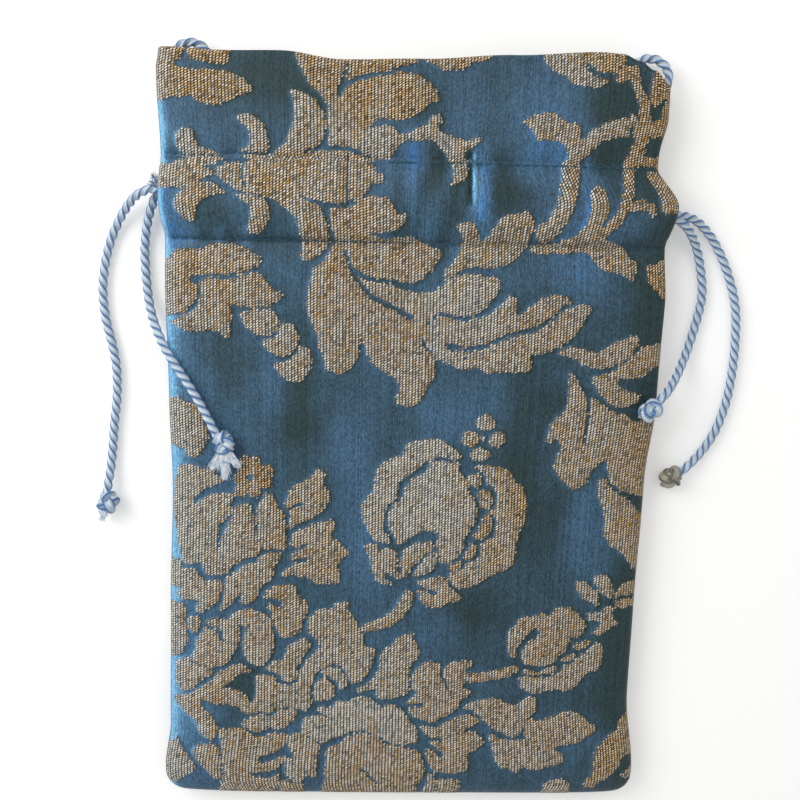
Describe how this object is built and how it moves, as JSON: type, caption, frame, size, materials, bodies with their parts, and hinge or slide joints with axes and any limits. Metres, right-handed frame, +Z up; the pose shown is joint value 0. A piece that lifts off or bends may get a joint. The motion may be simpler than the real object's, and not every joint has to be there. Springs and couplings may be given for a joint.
{
  "type": "drawstring pouch",
  "caption": "Flat drawstring pouch of floral jacquard cloth with a stitched cord channel below a frill and twisted satin cords that leave at its sides and end in knots.",
  "frame": {"origin": "middle of the pouch's outline on the table under its back, the free cords left out", "axes": "+X to the right across the front, +Y towards the mouth, +Z up from the table through the front"},
  "size_m": [0.2163, 0.2553, 0.0204],
  "materials": {
    "jacquard": "blue satin ground with raised ochre and beige floral figure",
    "satin_cord": "twisted pale blue satin",
    "frayed_cord": "loose pale blue rayon threads"
  },
  "bodies": {
    "root": {"front_panel": "jacquard", "back_panel": "jacquard", "left_drawstring": "satin_cord", "right_drawstring": "satin_cord", "left_front_end": "satin_cord", "left_back_end": "satin_cord", "right_front_end": "satin_cord", "right_back_end": "satin_cord", "left_corner_loop": "satin_cord", "right_corner_loop": "satin_cord", "left_front_knot": "satin_cord", "left_back_knot": "satin_cord", "right_front_knot": "satin_cord", "right_back_knot": "satin_cord", "left_back_tassel": "frayed_cord", "left_front_tail": "frayed_cord"}
  },
  "joints": []
}
